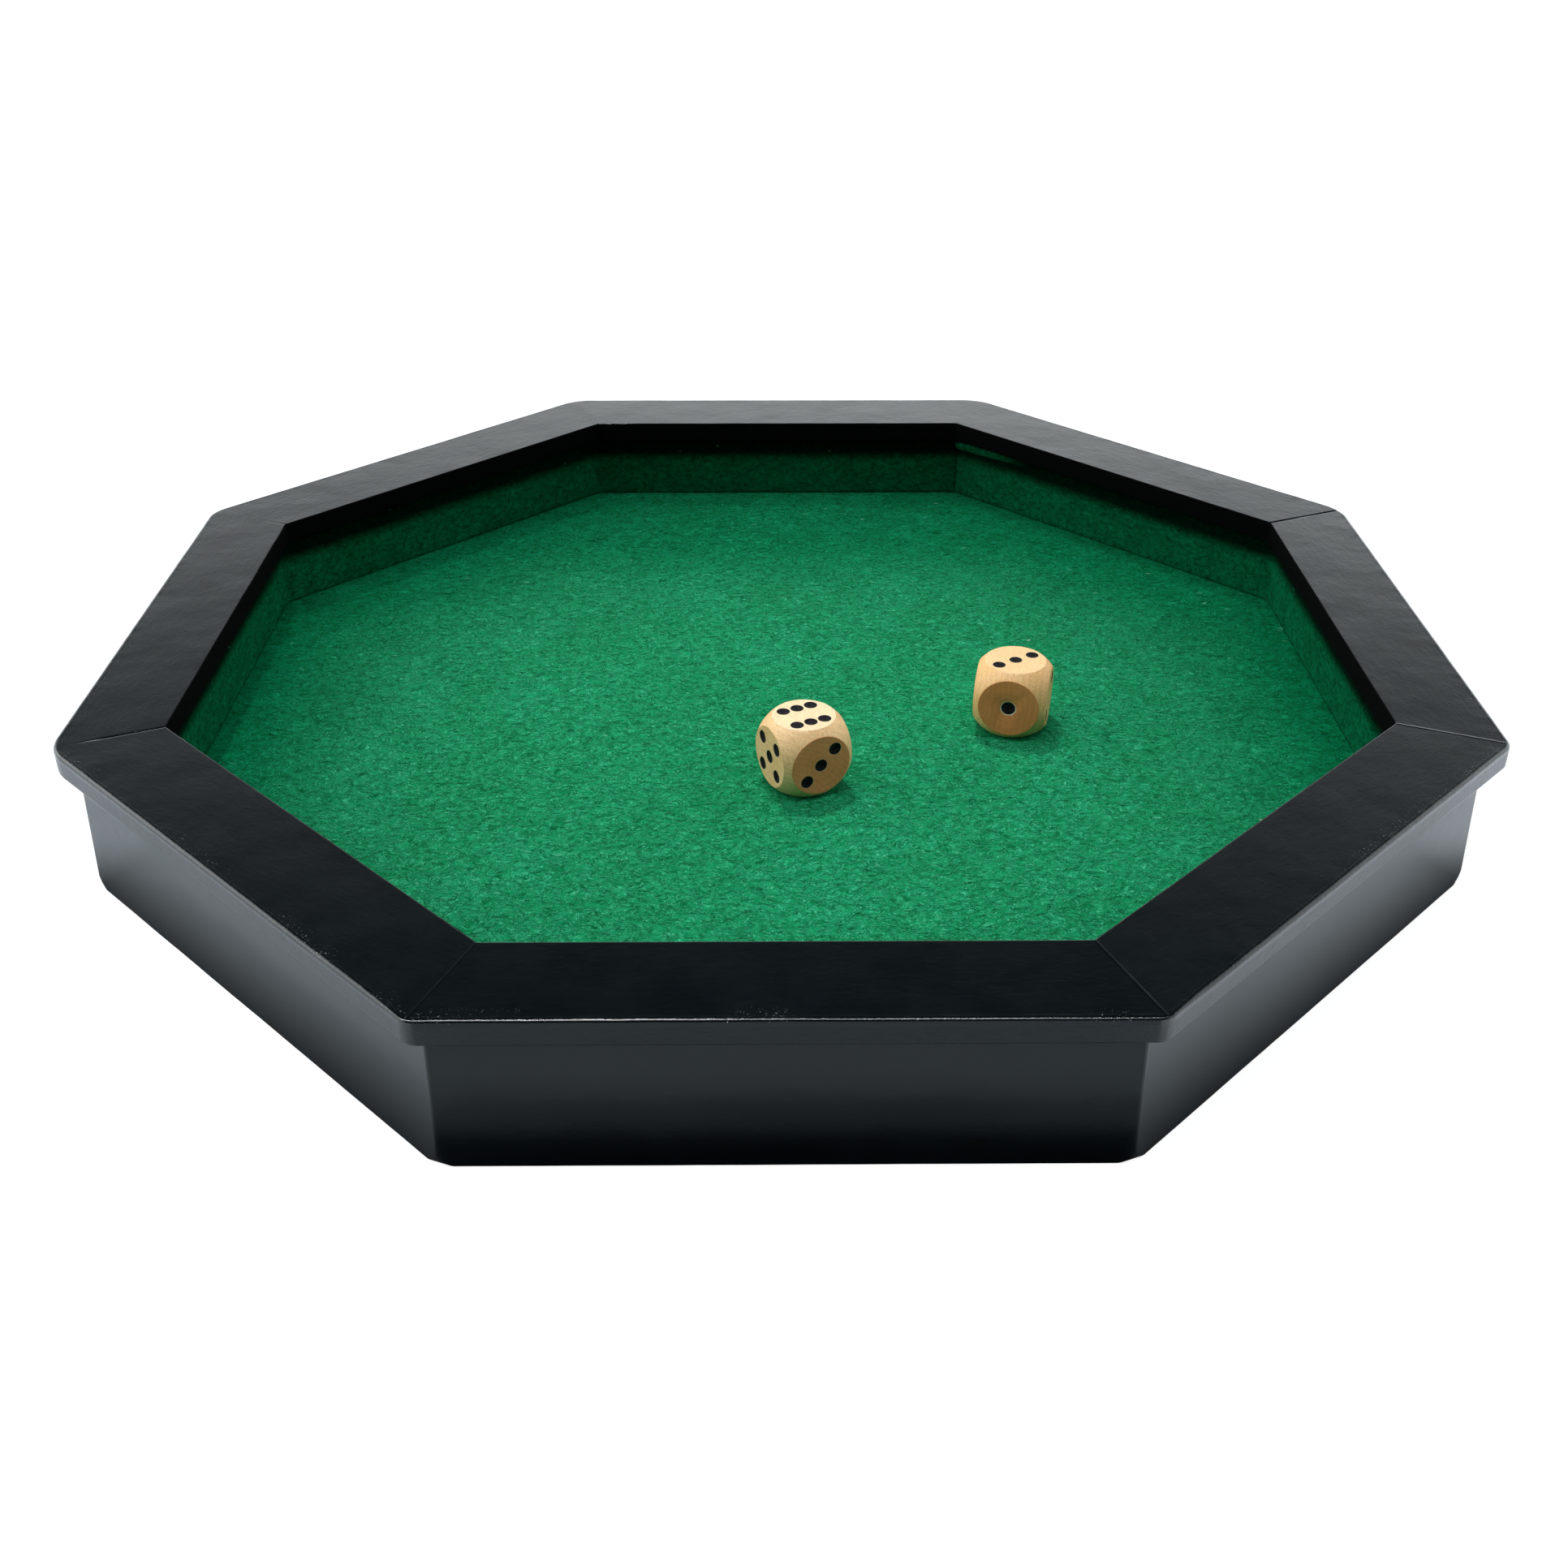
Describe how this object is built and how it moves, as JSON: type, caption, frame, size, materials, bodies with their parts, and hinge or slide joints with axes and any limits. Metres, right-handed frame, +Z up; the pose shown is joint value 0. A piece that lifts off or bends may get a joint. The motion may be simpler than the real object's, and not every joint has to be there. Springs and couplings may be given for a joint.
{
  "type": "dice tray",
  "caption": "Low octagonal wooden dice tray with mitred flat rim, felt lining and loose wooden dice resting in it.",
  "frame": {"origin": "middle of the tray on the surface that it stands on", "axes": "+Z up; the front board faces -Y; +X to the right seen from the front"},
  "size_m": [0.286, 0.286, 0.0336],
  "materials": {
    "black_lacquered_wood": "black satin lacquer over wood, faint grain and brush ripple",
    "painted_hardboard": "thin matt black paint on hardboard",
    "green_felt": "short-fibred green baize felt with a laid nap",
    "pale_wood": "clear waxed pale wood with fine short grain and black painted pips"
  },
  "bodies": {
    "tray": {"rim_rail_front": "black_lacquered_wood", "rim_rail_front_left": "black_lacquered_wood", "rim_rail_left": "black_lacquered_wood", "rim_rail_back_left": "black_lacquered_wood", "rim_rail_back": "black_lacquered_wood", "rim_rail_back_right": "black_lacquered_wood", "rim_rail_right": "black_lacquered_wood", "rim_rail_front_right": "black_lacquered_wood", "wall_board_front": "black_lacquered_wood", "wall_board_front_left": "black_lacquered_wood", "wall_board_left": "black_lacquered_wood", "wall_board_back_left": "black_lacquered_wood", "wall_board_back": "black_lacquered_wood", "wall_board_back_right": "black_lacquered_wood", "wall_board_right": "black_lacquered_wood", "wall_board_front_right": "black_lacquered_wood", "base_panel": "painted_hardboard", "floor_felt": "green_felt", "wall_felt": "green_felt"},
    "die_left": {"die_left": "pale_wood"},
    "die_right": {"die_right": "pale_wood"}
  },
  "joints": [
    {"name": "die_left_lift", "type": "slide", "parent": "tray", "child": "die_left", "axis": [0, 0, 1], "range_m": [0, 0.06]},
    {"name": "die_right_lift", "type": "slide", "parent": "tray", "child": "die_right", "axis": [0, 0, 1], "range_m": [0, 0.06]}
  ]
}
